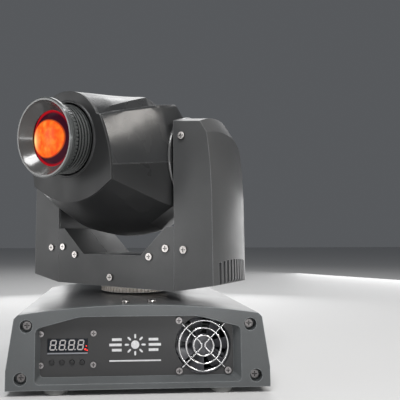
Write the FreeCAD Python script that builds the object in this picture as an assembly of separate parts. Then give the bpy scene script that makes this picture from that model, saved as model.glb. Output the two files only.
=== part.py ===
"""Compact moving-head spot light: base, panning yoke and tilting head, one STEP file per piece.

Millimetres.  +Z is up and the origin is on the floor, on the pan axis.  The control panel faces -Y.
Yoke pieces are drawn facing -Y and turned by REST_PAN.  Head pieces are drawn in the head's own frame,
with the beam along -Y and the tilt axis along X through the origin, then placed by in_head().
"""
import FreeCAD
import Part
import math
import os
from FreeCAD import Vector

X, Y, Z = Vector(1, 0, 0), Vector(0, 1, 0), Vector(0, 0, 1)

# ---- pose the part is stored in -------------------------------------------------------------------
REST_PAN = -39.4           # degrees about +Z
REST_TILT = 7.3            # degrees, nose down
TILT_HEIGHT = 245.0        # height of the tilt axis above the floor

# ---- base -----------------------------------------------------------------------------------------
FOOT_HEIGHT = 6.0
FOOT_RADIUS = 12.5
FOOT_X, FOOT_Y = 84.0, 110.0
BASE_HALF_DEPTH = 125.0
BASE_HALF_WIDTH = 131.6    # at the floor
SHOULDER_HALF_WIDTH = 124.6
SIDE_TOP = 25.2            # top of the upright part of each side
SHOULDER_TOP = 75.0
CROWN_EDGE_X, CROWN_EDGE_Z = 120.8, 78.8
CROWN = 87.7               # top of the arched cover
FRAME_DEPTH = 10.0
SHEET = 1.5
# recess in an end frame, at its face and at the panel: left x, right x, low z, corner z, top z
RECESS_FRONT = (-103.2, 102.4, 11.7, 65.0, 76.6)
RECESS_BACK = (-99.6, 96.8, 15.8, 65.1, 75.7)
PANEL_THICKNESS = 2.0
FRAME_SCREWS = ((112.3, 67.7), (117.2, 17.2))
FRAME_SCREW_SEAT = 7.5     # depth of the counterbores
COVER_SCREW_X, COVER_SCREW_Y = 13.6, 106.5
DISPLAY_CENTRE = (-72.3, 46.9)
DISPLAY_SIZE = (40.2, 12.8)
DISPLAY_SCREWS = ((-99.0, 58.4), (-46.2, 58.4), (-98.6, 27.6), (-46.2, 27.6))
BUTTON_Z = 30.0
BUTTON_FIRST_X, BUTTON_PITCH = -88.0, 10.16
BUTTON_RADIUS = 2.4
FAN_CENTRE = (65.8, 45.2)
FAN_SIZE = 60.0
FAN_HOLE_HALF = 25.0       # half the 50 mm screw spacing of a 60 mm fan
FAN_OPENING = 28.8
GUARD_LEG = 21.6           # guard legs stand this far from the fan's centre lines
GUARD_RINGS = (25.2, 17.9, 10.3)
GUARD_WIRE = 0.9
INLET_CENTRE = (75.0, 45.0)
FUSE_CENTRE = (42.0, 45.0)
DMX_IN_CENTRE = (-30.0, 45.0)
DMX_OUT_CENTRE = (-72.0, 45.0)
BRACKET_X, BRACKET_Y = 70.0, 45.0
BRACKET_HOLE = 4.25

# ---- pan drive ------------------------------------------------------------------------------------
PAN_SHAFT_RADIUS = 15.0
RUNNING_FIT = 0.05
PAN_PULLEY_RADIUS = 32.0
MOTOR_PULLEY_RADIUS = 8.0
PAN_MOTOR = (-62.0, 42.0)
PAN_BELT_Z = 51.0
BELT_WIDTH = 8.0
BELT_THICKNESS = 1.4
BELT_GAP = 0.3
MOTOR_SIZE = 42.0
COLLAR_RADIUS = 42.0

# ---- yoke -----------------------------------------------------------------------------------------
YOKE_HALF_DEPTH = 47.6
ARM_INNER = 90.0
ARM_OUTER = 142.5
BRIDGE_BOTTOM = 96.6
WINDOW_LEDGE = 167.1
WINDOW_FLOOR = 134.5
WINDOW_TOP_HALF, WINDOW_FLOOR_HALF = 79.6, 44.8
COVER_WALL = 2.5
ARM_LEAN = ((60.0, 0.0), (200.0, 0.0), (230.0, 1.1), (249.0, 2.7), (268.0, 5.2), (320.0, 14.0))
DOME_SLOPE = 0.16          # rise over run of an arm's top, towards the head
SHOULDER_SLOPE = 1.7       # the same for the bevel between its side and its top
SHOULDER_X = 134.0         # where the bevel meets the side
PLATE = 2.5
YOKE_SCREW_HEAD = 4.1
BRIDGE_SCREWS = ((-81.0, 143.1), (-59.0, 133.5), (0.0, 107.6), (57.5, 133.5), (79.6, 143.1))
ARM_SCREWS = ((102.5, 141.9), (101.4, 266.6))
TILT_SHAFT_RADIUS = 12.0
TILT_PULLEY_RADIUS = 24.0
TILT_MOTOR_Z = 166.0
TILT_BELT_X = 118.0
TILT_MOTOR_LENGTH = 22.4
TILT_MOTOR_PULLEY_RADIUS = 7.0

# ---- head, in the head's own frame ----------------------------------------------------------------
FACE_Y = -120.0
BODY_Y = -117.0
REAR_Y = 75.0
OPTIC_Z = 32.8
SHELL_WALL = 2.5
CHEEK = 86.5
HUB_RADIUS = 52.0          # boss on each cheek, about the tilt axis
HUB_FACE = 88.6
HUB_FOOT = -48.5           # the boss is cut flat below this height
LENS_FLANGE_Y = -154.5
LENS_FLANGE_RADIUS = 41.8
BARREL_RADIUS = 37.8
BARREL_RIBS = 5
BARREL_LENGTH = 58.0
LENS_THROAT = 29.5
LENS_SEAT = LENS_FLANGE_Y + 13.0
LENS_BORE = 33.0
LENS_RADIUS = 32.4
LENS_EDGE = 4.0            # thickness of the lens at its rim
LENS_DOME = 60.0           # radius of the front lens surface
LENS_GAP = 2.0
FACE_HOLE_RADIUS = 39.4
HEAD_SCREW_X = 52.0
HEAD_SCREW_Z = (-24.0, 26.0)
WHEEL_AXIS_Z = 2.8
WHEEL_RADIUS = 37.0
WHEEL_HOLE_CIRCLE = OPTIC_Z - WHEEL_AXIS_Z


# ---- small tools ----------------------------------------------------------------------------------
def block(x0, x1, y0, y1, z0, z1):
    return Part.makeBox(x1 - x0, y1 - y0, z1 - z0, Vector(x0, y0, z0))


def rod(radius, start, axis, length):
    return Part.makeCylinder(radius, length, Vector(*start), axis)


def tube(outer, inner, start, axis, length):
    hole_start = Vector(*start) - axis
    return rod(outer, start, axis, length).cut(Part.makeCylinder(inner, length + 2, hole_start, axis))


def cut_all(shape, tools):
    for tool in tools:
        shape = shape.cut(tool)
    return shape


def fuse_all(shapes):
    return shapes[0].multiFuse(shapes[1:]).removeSplitter()


def group(shapes):
    return Part.makeCompound(shapes)


def path_wire(path, place):
    """Closed wire.  A path item is a point, or a (middle, end) pair for an arc to that end."""
    edges = []
    here = path[0]
    for item in list(path[1:]) + [path[0]]:
        if isinstance(item[0], tuple):
            middle, end = item
            edges.append(Part.Arc(place(*here), place(*middle), place(*end)).toShape())
            here = end
        elif math.dist(here, item) > 1e-6:
            edges.append(Part.LineSegment(place(*here), place(*item)).toShape())
            here = item
    return Part.Wire(edges)


def along_x(path, x0, x1):
    face = Part.Face(path_wire(path, lambda y, z: Vector(x0, y, z)))
    return face.extrude(Vector(x1 - x0, 0, 0))


def along_y(path, y0, y1):
    face = Part.Face(path_wire(path, lambda x, z: Vector(x, y0, z)))
    return face.extrude(Vector(0, y1 - y0, 0))


def along_z(path, z0, z1):
    face = Part.Face(path_wire(path, lambda x, y: Vector(x, y, z0)))
    return face.extrude(Vector(0, 0, z1 - z0))


def mirrored(shape, normal):
    return shape.mirror(Vector(0, 0, 0), normal)


def pan_head_screw(head_radius, shank_radius, length, seat, outward):
    """Screw whose head sits on the point seat and whose shank runs the other way."""
    head = Part.makeCylinder(head_radius, 0.55 * head_radius, Vector(*seat), outward)
    shank = Part.makeCylinder(shank_radius, length, Vector(*seat), -outward)
    cross_centre = Vector(*seat) + outward * (0.55 * head_radius - 1.2)
    screw = head.fuse(shank)
    for turn in (0, 90):
        slot = Part.makeBox(1.3 * head_radius, 0.9, 2, Vector(-0.65 * head_radius, -0.45, 0))
        slot.rotate(Vector(0, 0, 0), Z, turn)
        slot.Placement = FreeCAD.Placement(cross_centre, FreeCAD.Rotation(Z, outward)) * slot.Placement
        screw = screw.cut(slot)
    return screw


def belt_loop(radius_a, centre_a, radius_b, centre_b, width):
    """Closed belt round two pulleys in the XY plane, from z = 0 to z = width."""
    def band(grow):
        hull = []
        ra, rb = radius_a + grow, radius_b + grow
        dx, dy = centre_b[0] - centre_a[0], centre_b[1] - centre_a[1]
        span = math.hypot(dx, dy)
        heading = math.atan2(dy, dx)
        lean = math.acos((ra - rb) / span)
        for (cx, cy), r in ((centre_a, ra), (centre_b, rb)):
            for side in (1, -1):
                angle = heading + side * lean
                hull.append((cx + r * math.cos(angle), cy + r * math.sin(angle)))
        far_a = (centre_a[0] - ra * math.cos(heading), centre_a[1] - ra * math.sin(heading))
        far_b = (centre_b[0] + rb * math.cos(heading), centre_b[1] + rb * math.sin(heading))
        return along_z([hull[1], (far_a, hull[0]), hull[2], (far_b, hull[3])], 0, width)
    return band(BELT_GAP + BELT_THICKNESS).cut(band(BELT_GAP))


def in_yoke(shape):
    shape = shape.copy()
    shape.rotate(Vector(0, 0, 0), Z, REST_PAN)
    return shape


def in_head(shape):
    shape = shape.copy()
    shape.rotate(Vector(0, 0, 0), X, REST_TILT)
    shape.translate(Vector(0, 0, TILT_HEIGHT))
    return in_yoke(shape)


# ---- base -----------------------------------------------------------------------------------------
def base_outline(inset=0.0, floor=FOOT_HEIGHT):
    wide = BASE_HALF_WIDTH - inset
    narrow = SHOULDER_HALF_WIDTH - inset
    edge = CROWN_EDGE_X - inset
    edge_z = CROWN_EDGE_Z - inset
    shoulder = SHOULDER_TOP - 0.5 * inset
    return [(-wide, floor), (-wide, SIDE_TOP), (-narrow, shoulder), (-edge, edge_z),
            ((0, CROWN - inset), (edge, edge_z)), (narrow, shoulder), (wide, SIDE_TOP), (wide, floor)]


def recess_wire(y, left, right, low, corner_z, top):
    """Window of an end frame between x = left and x = right: rounded corners under a low arch."""
    corner = 4.0
    path = [(left + corner, low), ((left + 0.3 * corner, low + 0.3 * corner), (left, low + corner)),
            (left, corner_z - corner), ((left + 1.0, corner_z - 1.0), (left + 5.5, corner_z + 1.6)),
            (left + 40, top - 1.0), ((left + 46, top - 0.2), (left + 52, top)),
            (right - 52, top), ((right - 46, top - 0.2), (right - 40, top - 1.0)),
            (right - 5.5, corner_z + 1.6), ((right - 1.0, corner_z - 1.0), (right, corner_z - corner)),
            (right, low + corner), ((right - 0.3 * corner, low + 0.3 * corner), (right - corner, low))]
    return path_wire(path, lambda x, z: Vector(x, y, z))


def front_frame():
    outer = along_y(base_outline(), -BASE_HALF_DEPTH, -BASE_HALF_DEPTH + FRAME_DEPTH)
    back = -BASE_HALF_DEPTH + FRAME_DEPTH
    window = Part.makeLoft([recess_wire(-BASE_HALF_DEPTH - 0.01, *RECESS_FRONT),
                            recess_wire(back + 0.01, *RECESS_BACK)], True, True)
    frame = outer.cut(window)
    for x, z in FRAME_SCREWS:
        for side in (-1, 1):
            frame = frame.cut(rod(6.3, (side * x, -BASE_HALF_DEPTH - 1, z), Y, FRAME_SCREW_SEAT + 1))
            frame = frame.cut(rod(2.05, (side * x, -BASE_HALF_DEPTH, z), Y, FRAME_DEPTH + 1))
    pockets = [rod(3.3, (x, back - 2.0, z), Y, 3.0) for x, z in DISPLAY_SCREWS]
    pockets += [rod(3.6, (x, back - 2.2, z), Y, 3.2) for x, z in fan_screw_places()]
    return cut_all(frame, pockets)


def front_panel():
    y0 = -BASE_HALF_DEPTH + FRAME_DEPTH
    y1 = y0 + PANEL_THICKNESS
    panel = along_y(base_outline(SHEET + 0.3, FOOT_HEIGHT + 2.3), y0, y1)
    cx, cz = DISPLAY_CENTRE
    w, h = DISPLAY_SIZE
    tools = [block(cx - w / 2 - 0.2, cx + w / 2 + 0.2, y0 - 1, y1 + 1, cz - h / 2 - 0.2, cz + h / 2 + 0.2)]
    tools += [rod(BUTTON_RADIUS + 0.25, (x, y0 - 1, BUTTON_Z), Y, 4) for x in button_places()]
    tools += [rod(1.55, (x, y0 - 1, z), Y, 4) for x, z in DISPLAY_SCREWS]
    tools += [rod(FAN_OPENING, (FAN_CENTRE[0], y0 - 1, FAN_CENTRE[1]), Y, 4)]
    tools += [rod(GUARD_WIRE + 0.2, (x, y0 - 1, z), Y, 4) for x, z in guard_leg_places()]
    tools += [rod(2.05, (x, y0 - 1, z), Y, 4) for x, z in fan_screw_places()]
    tools += [rod(2.05, (side * x, y0 - 1, z), Y, 4) for x, z in FRAME_SCREWS for side in (-1, 1)]
    return cut_all(panel, tools)


def button_places():
    return [BUTTON_FIRST_X + i * BUTTON_PITCH for i in range(4)]


def fan_screw_places():
    return [(FAN_CENTRE[0] + a * FAN_HOLE_HALF, FAN_CENTRE[1] + b * FAN_HOLE_HALF)
            for a in (-1, 1) for b in (-1, 1)]


def guard_leg_places():
    return [(FAN_CENTRE[0] + a * GUARD_LEG, FAN_CENTRE[1] + b * GUARD_LEG) for a in (-1, 1) for b in (-1, 1)]


def rear_panel():
    y0 = BASE_HALF_DEPTH - FRAME_DEPTH - PANEL_THICKNESS
    panel = along_y(base_outline(SHEET + 0.3, FOOT_HEIGHT + 2.3), y0, y0 + PANEL_THICKNESS)
    ix, iz = INLET_CENTRE
    tools = [block(ix - 14, ix + 14, y0 - 1, y0 + 4, iz - 10.5, iz + 10.5)]
    tools += [rod(6.2, (FUSE_CENTRE[0], y0 - 1, FUSE_CENTRE[1]), Y, 5)]
    for x, z in (DMX_IN_CENTRE, DMX_OUT_CENTRE):
        tools += [rod(11.8, (x, y0 - 1, z), Y, 5)]
    tools += [rod(2.05, (side * x, y0 - 1, z), Y, 5) for x, z in FRAME_SCREWS for side in (-1, 1)]
    tools += [block(-8, 12, y0 - 1, y0 + 5, 24 + 7 * i, 27.2 + 7 * i) for i in range(6)]
    return cut_all(panel, tools)


def base_top_cover():
    y0 = BASE_HALF_DEPTH - FRAME_DEPTH
    outer = along_y(base_outline(0.0, FOOT_HEIGHT), -y0, y0)
    inner = along_y(base_outline(SHEET, FOOT_HEIGHT - 1), -y0 - 1, y0 + 1)
    cover = outer.cut(inner)
    cover = cover.cut(rod(24, (0, 0, 60), Z, 60))
    for x in (-COVER_SCREW_X, COVER_SCREW_X):
        for y in (-COVER_SCREW_Y, COVER_SCREW_Y):
            cover = cover.cut(rod(2.05, (x, y, 60), Z, 60))
    return cover


def bottom_plate():
    half_x = BASE_HALF_WIDTH - SHEET - 0.2
    y0 = BASE_HALF_DEPTH - FRAME_DEPTH
    plate = block(-half_x, half_x, -y0, y0, FOOT_HEIGHT, FOOT_HEIGHT + 2)
    holes = [rod(BRACKET_HOLE, (a * BRACKET_X, b * BRACKET_Y, 0), Z, 20) for a in (-1, 1) for b in (-1, 1)]
    slots = [block(-40, 40, y - 1.5, y + 1.5, 0, 20) for y in range(-75, -30, 9)]
    return cut_all(plate, holes + slots)


def rubber_feet():
    feet = []
    for x in (-FOOT_X, FOOT_X):
        for y in (-FOOT_Y, FOOT_Y):
            foot = rod(FOOT_RADIUS, (x, y, 0), Z, FOOT_HEIGHT)
            foot = foot.makeFillet(1.5, [e for e in foot.Edges if e.Closed and e.BoundBox.ZMax < 1])
            feet.append(foot)
    return group(feet)


def frame_screws():
    screws = []
    for x, z in FRAME_SCREWS:
        for side in (-1, 1):
            seat = BASE_HALF_DEPTH - FRAME_SCREW_SEAT
            screws.append(pan_head_screw(4.0, 2.0, 7.0, (side * x, -seat, z), -Y))
            screws.append(pan_head_screw(4.0, 2.0, 7.0, (side * x, seat, z), Y))
    return group(screws)


def panel_screws():
    y0 = -BASE_HALF_DEPTH + FRAME_DEPTH
    screws = [pan_head_screw(2.9, 1.5, 8.4, (x, y0, z), -Y) for x, z in DISPLAY_SCREWS]
    screws += [pan_head_screw(3.3, 2.0, 12.0, (x, y0, z), -Y) for x, z in fan_screw_places()]
    return group(screws)


def cover_screws():
    drop = (CROWN - CROWN_EDGE_Z) * (COVER_SCREW_X / CROWN_EDGE_X) ** 2
    screws = []
    for x in (-COVER_SCREW_X, COVER_SCREW_X):
        for y in (-COVER_SCREW_Y, COVER_SCREW_Y):
            screws.append(pan_head_screw(4.4, 2.0, 8.0, (x, y, CROWN - drop + 0.15), Z))
    return group(screws)


def display_module():
    y0 = -BASE_HALF_DEPTH + FRAME_DEPTH - 0.8
    cx, cz = DISPLAY_CENTRE
    w, h = DISPLAY_SIZE
    return block(cx - w / 2, cx + w / 2, y0, y0 + 8.8, cz - h / 2, cz + h / 2)


def display_board():
    y0 = -BASE_HALF_DEPTH + FRAME_DEPTH + 8.0
    board = block(-104, -41, y0, y0 + 1.6, 23, 63)
    holes = [rod(1.55, (x, y0 - 1, z), Y, 4) for x, z in DISPLAY_SCREWS]
    posts = [tube(3.0, 1.55, (x, -BASE_HALF_DEPTH + FRAME_DEPTH + PANEL_THICKNESS, z), Y, 6.0)
             for x, z in DISPLAY_SCREWS]
    return group([cut_all(board, holes)] + posts)


def button(x):
    y0 = -BASE_HALF_DEPTH + FRAME_DEPTH - 1.2
    cap = rod(BUTTON_RADIUS, (x, y0, BUTTON_Z), Y, 6.8)
    cap = cap.makeFillet(0.5, [e for e in cap.Edges if e.Closed and e.BoundBox.YMax < y0 + 0.1])
    return cap.fuse(rod(3.8, (x, y0 + 4.2, BUTTON_Z), Y, 1.2))


def fan_guard():
    """Chrome rings on two bent wires, whose ends turn in through holes in the panel."""
    cx, cz = FAN_CENTRE
    y_panel = -BASE_HALF_DEPTH + FRAME_DEPTH
    y_wire = y_panel - GUARD_WIRE - 0.05
    y_ring = y_wire - 1.5 * GUARD_WIRE
    pieces = [Part.makeTorus(r, GUARD_WIRE, Vector(cx, y_ring, cz), Y) for r in GUARD_RINGS]
    for side in (-1, 1):
        corners = [(side * GUARD_LEG, GUARD_LEG), (side * 4.0, 4.2), (side * 1.8, 1.6),
                   (side * 1.8, -1.6), (side * 4.0, -4.2), (side * GUARD_LEG, -GUARD_LEG)]
        for (xa, za), (xb, zb) in zip(corners, corners[1:]):
            direction = Vector(xb - xa, 0, zb - za)
            pieces.append(Part.makeCylinder(GUARD_WIRE, direction.Length,
                                            Vector(cx + xa, y_wire, cz + za), direction))
        pieces += [Part.makeSphere(GUARD_WIRE, Vector(cx + xa, y_wire, cz + za)) for xa, za in corners]
    pieces += [rod(GUARD_WIRE, (x, y_wire, z), Y, y_panel + PANEL_THICKNESS - y_wire - 0.1)
               for x, z in guard_leg_places()]
    return fuse_all(pieces)


def fan_frame(size, depth, bore, hole_half, hole_radius):
    """Square fan housing centred on the Y axis, from y = 0 to y = depth, with its spider at the back."""
    half = size / 2
    body = block(-half, half, 0, depth, -half, half)
    body = body.makeFillet(4.0, [e for e in body.Edges if abs(e.tangentAt(e.FirstParameter).y) > 0.9])
    body = body.cut(rod(bore, (0, -1, 0), Y, depth + 2))
    for a in (-1, 1):
        for b in (-1, 1):
            body = body.cut(rod(hole_radius, (a * hole_half, -1, b * hole_half), Y, depth + 2))
    spider = [rod(0.4 * bore, (0, depth - 2.0, 0), Y, 2.0)]
    for i in range(3):
        arm = block(-1.6, 1.6, depth - 2.0, depth, 0.3 * bore, bore + 1.0)
        arm.rotate(Vector(0, 0, 0), Y, 120 * i)
        spider.append(arm)
    return fuse_all([body] + spider)


def fan_rotor(radius, depth, hub, blades):
    """Hub and swept blades that turn about the Y axis, from y = 0 to y = depth."""
    pieces = [rod(hub, (0, 0, 0), Y, depth)]
    for i in range(blades):
        root = Part.makePolygon([Vector(hub - 2, depth - 0.8, -3.2), Vector(hub - 2, 1.0, 3.2),
                                 Vector(hub - 2, 2.2, 3.4), Vector(hub - 2, depth - 0.1, -2.6),
                                 Vector(hub - 2, depth - 0.8, -3.2)])
        tip = Part.makePolygon([Vector(radius, depth - 1.2, -7.5), Vector(radius, 1.6, 7.5),
                                Vector(radius, 2.6, 7.9), Vector(radius, depth - 0.3, -7.1),
                                Vector(radius, depth - 1.2, -7.5)])
        blade = Part.makeLoft([root, tip], True, True)
        blade.rotate(Vector(0, 0, 0), Y, 360.0 * i / blades)
        pieces.append(blade)
    rotor = fuse_all(pieces)
    return rotor.common(rod(radius, (0, -1, 0), Y, depth + 2))


def base_fan_frame():
    frame = fan_frame(FAN_SIZE, 15.0, 28.5, FAN_HOLE_HALF, 2.05)
    frame.translate(Vector(FAN_CENTRE[0], -BASE_HALF_DEPTH + FRAME_DEPTH + PANEL_THICKNESS, FAN_CENTRE[1]))
    return frame


def base_fan_rotor():
    rotor = fan_rotor(27.0, 11.0, 11.0, 7)
    rotor.translate(Vector(FAN_CENTRE[0], -BASE_HALF_DEPTH + FRAME_DEPTH + PANEL_THICKNESS + 0.8,
                           FAN_CENTRE[1]))
    return rotor


def power_inlet():
    x, z = INLET_CENTRE
    y0 = BASE_HALF_DEPTH - FRAME_DEPTH
    flange = block(x - 20, x + 20, y0, y0 + 2.5, z - 13, z + 13)
    body = block(x - 13.8, x + 13.8, y0 - 18, y0 + 2.5, z - 10.2, z + 10.2)
    cavity = block(x - 12, x + 12, y0 - 14, y0 + 5, z - 8, z + 8)
    pins = [block(x + dx - 1, x + dx + 1, y0 - 15, y0 - 3, z + dz - 2, z + dz + 2)
            for dx, dz in ((-7, 0), (0, -2), (7, 0))]
    return fuse_all([flange.fuse(body).cut(cavity)] + pins)


def fuse_holder():
    x, z = FUSE_CENTRE
    y0 = BASE_HALF_DEPTH - FRAME_DEPTH
    cap = rod(7.5, (x, y0, z), Y, 6.5)
    cap = cap.cut(block(x - 5, x + 5, y0 + 5, y0 + 7, z - 0.7, z + 0.7))
    return cap.fuse(rod(6.0, (x, y0 - 24, z), Y, 24.5))


def xlr_socket(centre, male):
    x, z = centre
    y0 = BASE_HALF_DEPTH - FRAME_DEPTH
    flange = block(x - 13, x + 13, y0, y0 + 2.5, z - 15.5, z + 15.5)
    flange = flange.makeFillet(2.0, [e for e in flange.Edges if abs(e.tangentAt(e.FirstParameter).y) > 0.9])
    body = flange.fuse(rod(11.5, (x, y0 - 18, z), Y, 19))
    pin_places = [(x + 4.2 * math.cos(math.radians(a)), z + 4.2 * math.sin(math.radians(a)))
                  for a in (210, 330, 90)]
    if male:
        body = body.cut(rod(9.2, (x, y0 - 14, z), Y, 20))
        return fuse_all([body] + [rod(1.2, (px, y0 - 15, pz), Y, 13) for px, pz in pin_places])
    body = body.cut(tube(9.6, 7.6, (x, y0 - 12, z), Y, 20))
    return cut_all(body, [rod(1.4, (px, y0 - 12, pz), Y, 20) for px, pz in pin_places])


def power_supply():
    case = block(34, 112, 2, 88, FOOT_HEIGHT + 5, 44)
    slots = [block(48 + 8 * i, 51 + 8 * i, 12, 82, 42, 46) for i in range(7)]
    legs = [rod(3, (x, y, FOOT_HEIGHT + 2), Z, 3) for x in (42, 104) for y in (10, 84)]
    return fuse_all([cut_all(case, slots)] + legs)


def main_board():
    board = block(-112, -40, -84, -6, FOOT_HEIGHT + 7, FOOT_HEIGHT + 8.6)
    parts = [block(-100, -84, -70, -54, FOOT_HEIGHT + 8.6, FOOT_HEIGHT + 11),
             block(-74, -66, -40, -28, FOOT_HEIGHT + 8.6, FOOT_HEIGHT + 24),
             rod(5, (-92, -24, FOOT_HEIGHT + 8.6), Z, 16), rod(5, (-58, -60, FOOT_HEIGHT + 8.6), Z, 16)]
    legs = [rod(2.5, (x, y, FOOT_HEIGHT + 2), Z, 5) for x in (-108, -44) for y in (-80, -10)]
    return fuse_all([board] + parts + legs)


# ---- pan drive ------------------------------------------------------------------------------------
def motor(length, shaft_length):
    """Square stepper motor with its shaft along +Z; the front face is at z = 0."""
    half = MOTOR_SIZE / 2
    body = block(-half, half, -half, half, -length, 0)
    body = body.makeChamfer(3.5, [e for e in body.Edges if abs(e.tangentAt(e.FirstParameter).z) > 0.9])
    return fuse_all([body, rod(11, (0, 0, 0), Z, 1.5), rod(2.5, (0, 0, 0), Z, shaft_length)])


def toothed_pulley(radius, bore, width, teeth):
    body = rod(radius, (0, 0, 0), Z, width).cut(rod(bore, (0, 0, -1), Z, width + 2))
    for i in range(teeth):
        angle = 2 * math.pi * i / teeth
        centre = (radius * math.cos(angle), radius * math.sin(angle), -1)
        body = body.cut(rod(0.6, centre, Z, width + 2))
    for z0 in (-1.0, width):
        rim = tube(radius + 1.2 if z0 < 0 else radius, bore, (0, 0, z0), Z, 1.0)
        body = body.fuse(rim)
    return body


def pan_motor():
    body = motor(31, 16)
    body.translate(Vector(PAN_MOTOR[0], PAN_MOTOR[1], PAN_BELT_Z - 5))
    legs = [rod(3, (PAN_MOTOR[0] + a * 15, PAN_MOTOR[1] + b * 15, FOOT_HEIGHT + 2), Z, PAN_BELT_Z - 36 - 8)
            for a in (-1, 1) for b in (-1, 1)]
    return fuse_all([body] + legs)


def pan_motor_pulley():
    pulley = toothed_pulley(MOTOR_PULLEY_RADIUS, 2.5 + RUNNING_FIT, BELT_WIDTH + 1, 16)
    pulley.translate(Vector(PAN_MOTOR[0], PAN_MOTOR[1], PAN_BELT_Z - 0.5))
    return pulley


def pan_pulley():
    pulley = toothed_pulley(PAN_PULLEY_RADIUS, PAN_SHAFT_RADIUS, BELT_WIDTH + 1, 64)
    pulley.translate(Vector(0, 0, PAN_BELT_Z - 0.5))
    return pulley


def pan_belt():
    belt = belt_loop(PAN_PULLEY_RADIUS, (0, 0), MOTOR_PULLEY_RADIUS, PAN_MOTOR, BELT_WIDTH)
    belt.translate(Vector(0, 0, PAN_BELT_Z))
    return belt


def pan_bearing():
    housing = rod(27, (0, 0, 66), Z, 20).fuse(rod(40, (0, 0, 81), Z, 3.2))
    return housing.cut(rod(PAN_SHAFT_RADIUS + RUNNING_FIT, (0, 0, 50), Z, 50)).cut(
        tube(60, 23.5, (0, 0, 84.2), Z, 6))


def pan_shaft():
    top = BRIDGE_BOTTOM + COVER_WALL + 0.4
    shaft = rod(PAN_SHAFT_RADIUS, (0, 0, PAN_BELT_Z - 3), Z, top - PAN_BELT_Z + 3)
    flange = rod(30, (0, 0, top), Z, 2.5)
    return shaft.fuse(flange).cut(rod(11, (0, 0, 40), Z, 80))


def pan_collar():
    top = BRIDGE_BOTTOM
    low = CROWN + 1.4
    ring = tube(COLLAR_RADIUS, PAN_SHAFT_RADIUS + 0.4, (0, 0, low), Z, top - low)
    ribs = 60
    for i in range(ribs):
        angle = 2 * math.pi * i / ribs
        centre = (COLLAR_RADIUS * math.cos(angle), COLLAR_RADIUS * math.sin(angle), low - 1)
        ring = ring.cut(rod(1.1, centre, Z, top - low - 1))
    return ring


# ---- yoke -----------------------------------------------------------------------------------------
def bridge_outline(inset, side_inset):
    edge = ARM_INNER - side_inset
    slope = (WINDOW_LEDGE - WINDOW_FLOOR) / (WINDOW_TOP_HALF - WINDOW_FLOOR_HALF)
    shift = inset * (math.sqrt(1 + slope ** 2) - 1) / slope
    top_half, floor_half = WINDOW_TOP_HALF + shift, WINDOW_FLOOR_HALF + shift
    ledge, floor = WINDOW_LEDGE - inset, WINDOW_FLOOR - inset
    return [(-edge, BRIDGE_BOTTOM + inset), (-edge, ledge), (-top_half, ledge), (-floor_half, floor),
            (floor_half, floor), (top_half, ledge), (edge, ledge), (edge, BRIDGE_BOTTOM + inset)]


def bridge_front_cover():
    seam = 0.2
    outer = along_y(bridge_outline(0, 0.2), -YOKE_HALF_DEPTH, -seam)
    inner = along_y(bridge_outline(COVER_WALL, -1.0), -YOKE_HALF_DEPTH + COVER_WALL, 5)
    cover = outer.cut(inner).cut(rod(PAN_SHAFT_RADIUS + 0.3, (0, 0, 80), Z, 40))
    screws = [rod(2.05, (x, -YOKE_HALF_DEPTH - 1, z), Y, 6) for x, z in BRIDGE_SCREWS]
    return cut_all(cover, screws)


def bridge_rear_cover():
    return mirrored(bridge_front_cover(), Y)


def arm_plan(z, inset, lean):
    """Plan of an arm at height z: flat front, gently bowed side and a rounded rear outer corner."""
    front = YOKE_HALF_DEPTH - inset
    start = ARM_INNER + 0.3 if inset == 0 else ARM_INNER - 5
    shift = inset + lean
    path = [(start, -front), (136.5 - shift, -front),
            ((ARM_OUTER - shift, -8.0), (137.5 - shift, 30.0)),
            ((131.5 - 0.8 * inset - lean, 42.3 - 0.8 * inset), (117.0, front)), (start, front)]
    return path_wire(path, lambda x, y: Vector(x, y, z))


def arm_foot_outline(inset):
    """Front view of an arm below its shoulder: sloped foot and rounded lower outer corner."""
    outer = ARM_OUTER + 1 - inset
    start = ARM_INNER - 1
    return [(start, BRIDGE_BOTTOM + inset), (ARM_INNER, BRIDGE_BOTTOM + inset),
            (outer - 7.5, 105.4 + inset), ((outer - 2.6, 107.6 + inset), (outer - 0.6, 113.0 + inset)),
            (outer, 125.0), (outer, 320.0), (start, 320.0)]


def arm_roof(outline, at_x, slope):
    """Everything under a side-view outline given at x = at_x, which climbs by slope towards the head."""
    start = ARM_OUTER + 8
    reach = 68.0
    drop = (start - at_x) * slope
    face = Part.Face(path_wire(outline, lambda y, z: Vector(start, y, z - drop)))
    return face.extrude(Vector(-reach, 0, reach * slope))


def arm_solid(inset):
    top, bevel = 282 - inset, 255 - 1.5 * inset
    dome = [(-60, -100), (-60, top), (-YOKE_HALF_DEPTH, top + 3.0), ((-12.0, top + 12), (26.0, top + 5.5)),
            ((40.0, top - 3.5), (YOKE_HALF_DEPTH, top - 20)), (60, top - 46), (60, -100)]
    shoulder = [(-60, -100), (-60, bevel), (-YOKE_HALF_DEPTH, bevel + 7),
                ((-12.0, bevel + 19.6), (24.0, bevel + 9)),
                ((39.0, bevel - 5), (YOKE_HALF_DEPTH, bevel - 23)), (60, bevel - 55), (60, -100)]
    body = Part.makeLoft([arm_plan(z, inset, lean) for z, lean in ARM_LEAN], True, True)
    body = body.common(along_y(arm_foot_outline(inset), -60, 60))
    body = body.common(arm_roof(dome, ARM_INNER, DOME_SLOPE))
    return body.common(arm_roof(shoulder, SHOULDER_X, SHOULDER_SLOPE))


def right_arm_cover():
    outer = arm_solid(0)
    cover = outer.cut(arm_solid(COVER_WALL))
    for x, z in ARM_SCREWS:
        cover = cover.cut(rod(2.05, (x, -60, z), Y, 120))
    slots = []
    for i in range(10):
        y = -36.0 + 7.0 * i
        height = 124.0 + 7.5 * math.sqrt(max(0.0, 1 - ((y + 5) / 42.0) ** 2))
        slots.append(block(ARM_OUTER - 16, ARM_OUTER + 2, y - 2.1, y + 2.1, 100, height))
    return cut_all(cover, slots)


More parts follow.
